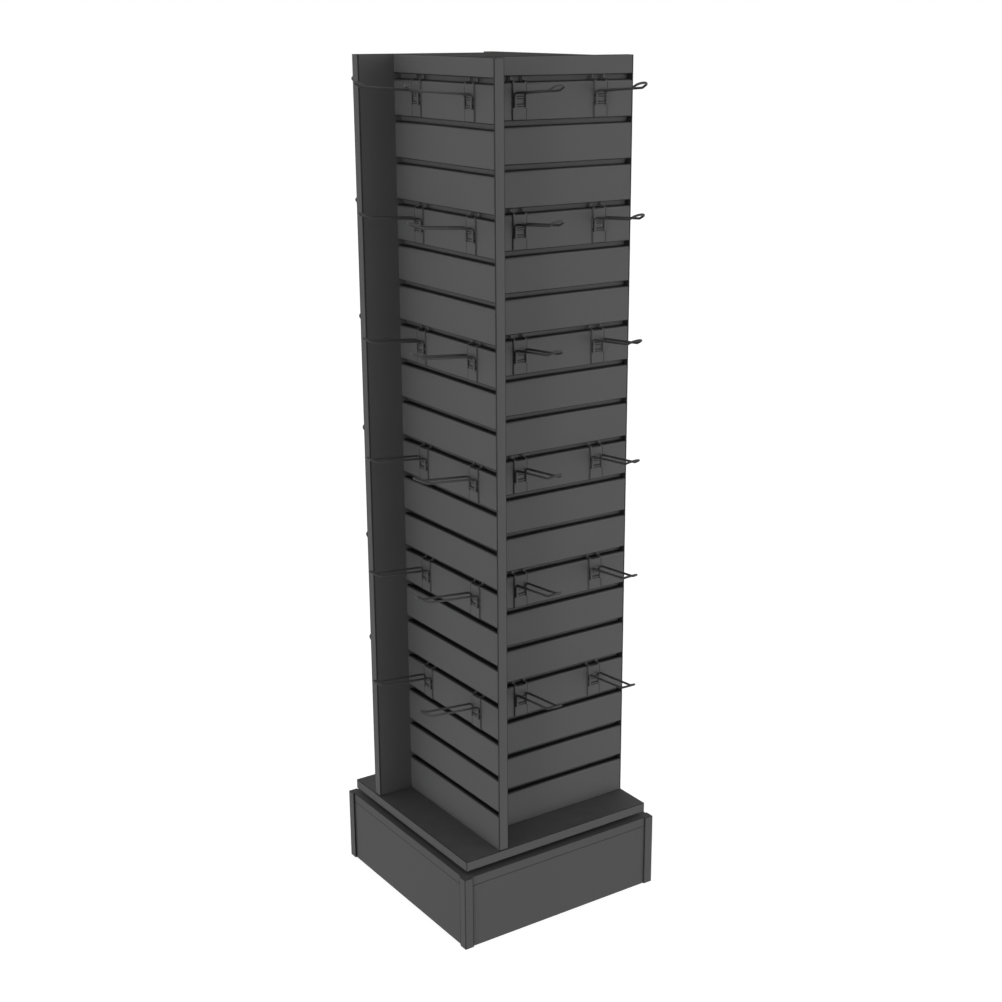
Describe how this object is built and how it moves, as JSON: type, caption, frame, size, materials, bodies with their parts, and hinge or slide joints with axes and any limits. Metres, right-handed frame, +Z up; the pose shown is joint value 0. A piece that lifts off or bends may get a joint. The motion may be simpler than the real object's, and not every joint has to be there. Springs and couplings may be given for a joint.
{
  "type": "rotating slatwall hook display",
  "caption": "Free-standing slatwall tower that spins on a turntable over a box base, with winged grooved panels and looped wire hooks that slide along the slots.",
  "frame": {"origin": "on the floor under the spin axis, at the centre of the base", "axes": "+Z up along the spin axis; -Y is the front slat face; -X is the left slat face"},
  "size_m": [0.5358, 0.5358, 1.6676],
  "materials": {
    "laminate": "charcoal low-pressure laminate on board, fine satin grain",
    "edge_trim": "charcoal extruded plastic trim, satin",
    "bearing_steel": "zinc-plated pressed steel",
    "hook_steel": "charcoal powder coat on steel plate and wire"
  },
  "bodies": {
    "base": {"base_top": "laminate", "base_side_front": "laminate", "base_side_back": "laminate", "base_side_left": "laminate", "base_side_right": "laminate", "base_corner_trim_front_left": "edge_trim", "base_corner_trim_front_right": "edge_trim", "base_corner_trim_back_left": "edge_trim", "base_corner_trim_back_right": "edge_trim", "turntable_lower_plate": "bearing_steel", "pivot_bolt": "bearing_steel", "pivot_nut": "bearing_steel"},
    "ball_ring": {"turntable_ball_ring": "bearing_steel"},
    "tower": {"turntable_upper_plate": "bearing_steel", "platform": "laminate", "top_cap": "laminate", "slat_panel_front": "laminate", "slat_panel_left": "laminate", "slat_panel_back": "laminate", "slat_panel_right": "laminate", "panel_end_trim_front": "edge_trim", "panel_end_trim_left": "edge_trim", "panel_end_trim_back": "edge_trim", "panel_end_trim_right": "edge_trim"},
    "hook_front_1_inner": {"hook_front_1_inner": "hook_steel"},
    "hook_front_1_outer": {"hook_front_1_outer": "hook_steel"},
    "hook_left_1_inner": {"hook_left_1_inner": "hook_steel"},
    "hook_left_1_outer": {"hook_left_1_outer": "hook_steel"},
    "hook_pair_back_1": {"hook_pair_back_1": "hook_steel"},
    "hook_pair_right_1": {"hook_pair_right_1": "hook_steel"},
    "hook_front_2_inner": {"hook_front_2_inner": "hook_steel"},
    "hook_front_2_outer": {"hook_front_2_outer": "hook_steel"},
    "hook_left_2_inner": {"hook_left_2_inner": "hook_steel"},
    "hook_left_2_outer": {"hook_left_2_outer": "hook_steel"},
    "hook_pair_back_2": {"hook_pair_back_2": "hook_steel"},
    "hook_pair_right_2": {"hook_pair_right_2": "hook_steel"},
    "hook_front_3_inner": {"hook_front_3_inner": "hook_steel"},
    "hook_front_3_outer": {"hook_front_3_outer": "hook_steel"},
    "hook_left_3_inner": {"hook_left_3_inner": "hook_steel"},
    "hook_left_3_outer": {"hook_left_3_outer": "hook_steel"},
    "hook_pair_back_3": {"hook_pair_back_3": "hook_steel"},
    "hook_pair_right_3": {"hook_pair_right_3": "hook_steel"},
    "hook_front_4_inner": {"hook_front_4_inner": "hook_steel"},
    "hook_front_4_outer": {"hook_front_4_outer": "hook_steel"},
    "hook_left_4_inner": {"hook_left_4_inner": "hook_steel"},
    "hook_left_4_outer": {"hook_left_4_outer": "hook_steel"},
    "hook_pair_back_4": {"hook_pair_back_4": "hook_steel"},
    "hook_pair_right_4": {"hook_pair_right_4": "hook_steel"},
    "hook_front_5_inner": {"hook_front_5_inner": "hook_steel"},
    "hook_front_5_outer": {"hook_front_5_outer": "hook_steel"},
    "hook_left_5_inner": {"hook_left_5_inner": "hook_steel"},
    "hook_left_5_outer": {"hook_left_5_outer": "hook_steel"},
    "hook_pair_back_5": {"hook_pair_back_5": "hook_steel"},
    "hook_pair_right_5": {"hook_pair_right_5": "hook_steel"},
    "hook_front_6_inner": {"hook_front_6_inner": "hook_steel"},
    "hook_front_6_outer": {"hook_front_6_outer": "hook_steel"},
    "hook_left_6_inner": {"hook_left_6_inner": "hook_steel"},
    "hook_left_6_outer": {"hook_left_6_outer": "hook_steel"},
    "hook_pair_back_6": {"hook_pair_back_6": "hook_steel"},
    "hook_pair_right_6": {"hook_pair_right_6": "hook_steel"}
  },
  "joints": [
    {"name": "tower_spin", "type": "hinge", "parent": "base", "child": "tower", "pos_m": [0, 0, 0.156], "axis": [0, 0, 1], "continuous": true},
    {"name": "ball_ring_spin", "type": "hinge", "parent": "base", "child": "ball_ring", "pos_m": [0, 0, 0.156], "axis": [0, 0, 1], "continuous": true},
    {"name": "hook_front_1_inner_slide", "type": "slide", "parent": "tower", "child": "hook_front_1_inner", "axis": [1, 0, 0], "range_m": [-0.0649, 0.073]},
    {"name": "hook_front_1_outer_slide", "type": "slide", "parent": "tower", "child": "hook_front_1_outer", "axis": [1, 0, 0], "range_m": [-0.073, 0.0567]},
    {"name": "hook_left_1_inner_slide", "type": "slide", "parent": "tower", "child": "hook_left_1_inner", "axis": [0, -1, 0], "range_m": [-0.0649, 0.073]},
    {"name": "hook_left_1_outer_slide", "type": "slide", "parent": "tower", "child": "hook_left_1_outer", "axis": [0, -1, 0], "range_m": [-0.073, 0.0567]},
    {"name": "hook_pair_back_1_slide", "type": "slide", "parent": "tower", "child": "hook_pair_back_1", "axis": [-1, 0, 0], "range_m": [-0.0649, 0.0567]},
    {"name": "hook_pair_right_1_slide", "type": "slide", "parent": "tower", "child": "hook_pair_right_1", "axis": [0, 1, 0], "range_m": [-0.0649, 0.0567]},
    {"name": "hook_front_2_inner_slide", "type": "slide", "parent": "tower", "child": "hook_front_2_inner", "axis": [1, 0, 0], "range_m": [-0.0649, 0.073]},
    {"name": "hook_front_2_outer_slide", "type": "slide", "parent": "tower", "child": "hook_front_2_outer", "axis": [1, 0, 0], "range_m": [-0.073, 0.0567]},
    {"name": "hook_left_2_inner_slide", "type": "slide", "parent": "tower", "child": "hook_left_2_inner", "axis": [0, -1, 0], "range_m": [-0.0649, 0.073]},
    {"name": "hook_left_2_outer_slide", "type": "slide", "parent": "tower", "child": "hook_left_2_outer", "axis": [0, -1, 0], "range_m": [-0.073, 0.0567]},
    {"name": "hook_pair_back_2_slide", "type": "slide", "parent": "tower", "child": "hook_pair_back_2", "axis": [-1, 0, 0], "range_m": [-0.0649, 0.0567]},
    {"name": "hook_pair_right_2_slide", "type": "slide", "parent": "tower", "child": "hook_pair_right_2", "axis": [0, 1, 0], "range_m": [-0.0649, 0.0567]},
    {"name": "hook_front_3_inner_slide", "type": "slide", "parent": "tower", "child": "hook_front_3_inner", "axis": [1, 0, 0], "range_m": [-0.0649, 0.073]},
    {"name": "hook_front_3_outer_slide", "type": "slide", "parent": "tower", "child": "hook_front_3_outer", "axis": [1, 0, 0], "range_m": [-0.073, 0.0567]},
    {"name": "hook_left_3_inner_slide", "type": "slide", "parent": "tower", "child": "hook_left_3_inner", "axis": [0, -1, 0], "range_m": [-0.0649, 0.073]},
    {"name": "hook_left_3_outer_slide", "type": "slide", "parent": "tower", "child": "hook_left_3_outer", "axis": [0, -1, 0], "range_m": [-0.073, 0.0567]},
    {"name": "hook_pair_back_3_slide", "type": "slide", "parent": "tower", "child": "hook_pair_back_3", "axis": [-1, 0, 0], "range_m": [-0.0649, 0.0567]},
    {"name": "hook_pair_right_3_slide", "type": "slide", "parent": "tower", "child": "hook_pair_right_3", "axis": [0, 1, 0], "range_m": [-0.0649, 0.0567]},
    {"name": "hook_front_4_inner_slide", "type": "slide", "parent": "tower", "child": "hook_front_4_inner", "axis": [1, 0, 0], "range_m": [-0.0649, 0.073]},
    {"name": "hook_front_4_outer_slide", "type": "slide", "parent": "tower", "child": "hook_front_4_outer", "axis": [1, 0, 0], "range_m": [-0.073, 0.0567]},
    {"name": "hook_left_4_inner_slide", "type": "slide", "parent": "tower", "child": "hook_left_4_inner", "axis": [0, -1, 0], "range_m": [-0.0649, 0.073]},
    {"name": "hook_left_4_outer_slide", "type": "slide", "parent": "tower", "child": "hook_left_4_outer", "axis": [0, -1, 0], "range_m": [-0.073, 0.0567]},
    {"name": "hook_pair_back_4_slide", "type": "slide", "parent": "tower", "child": "hook_pair_back_4", "axis": [-1, 0, 0], "range_m": [-0.0649, 0.0567]},
    {"name": "hook_pair_right_4_slide", "type": "slide", "parent": "tower", "child": "hook_pair_right_4", "axis": [0, 1, 0], "range_m": [-0.0649, 0.0567]},
    {"name": "hook_front_5_inner_slide", "type": "slide", "parent": "tower", "child": "hook_front_5_inner", "axis": [1, 0, 0], "range_m": [-0.0649, 0.073]},
    {"name": "hook_front_5_outer_slide", "type": "slide", "parent": "tower", "child": "hook_front_5_outer", "axis": [1, 0, 0], "range_m": [-0.073, 0.0567]},
    {"name": "hook_left_5_inner_slide", "type": "slide", "parent": "tower", "child": "hook_left_5_inner", "axis": [0, -1, 0], "range_m": [-0.0649, 0.073]},
    {"name": "hook_left_5_outer_slide", "type": "slide", "parent": "tower", "child": "hook_left_5_outer", "axis": [0, -1, 0], "range_m": [-0.073, 0.0567]},
    {"name": "hook_pair_back_5_slide", "type": "slide", "parent": "tower", "child": "hook_pair_back_5", "axis": [-1, 0, 0], "range_m": [-0.0649, 0.0567]},
    {"name": "hook_pair_right_5_slide", "type": "slide", "parent": "tower", "child": "hook_pair_right_5", "axis": [0, 1, 0], "range_m": [-0.0649, 0.0567]},
    {"name": "hook_front_6_inner_slide", "type": "slide", "parent": "tower", "child": "hook_front_6_inner", "axis": [1, 0, 0], "range_m": [-0.0649, 0.073]},
    {"name": "hook_front_6_outer_slide", "type": "slide", "parent": "tower", "child": "hook_front_6_outer", "axis": [1, 0, 0], "range_m": [-0.073, 0.0567]},
    {"name": "hook_left_6_inner_slide", "type": "slide", "parent": "tower", "child": "hook_left_6_inner", "axis": [0, -1, 0], "range_m": [-0.0649, 0.073]},
    {"name": "hook_left_6_outer_slide", "type": "slide", "parent": "tower", "child": "hook_left_6_outer", "axis": [0, -1, 0], "range_m": [-0.073, 0.0567]},
    {"name": "hook_pair_back_6_slide", "type": "slide", "parent": "tower", "child": "hook_pair_back_6", "axis": [-1, 0, 0], "range_m": [-0.0649, 0.0567]},
    {"name": "hook_pair_right_6_slide", "type": "slide", "parent": "tower", "child": "hook_pair_right_6", "axis": [0, 1, 0], "range_m": [-0.0649, 0.0567]}
  ],
  "couplings": [
    {"joint": "ball_ring_spin", "follows": "tower_spin", "ratio": 0.5}
  ]
}
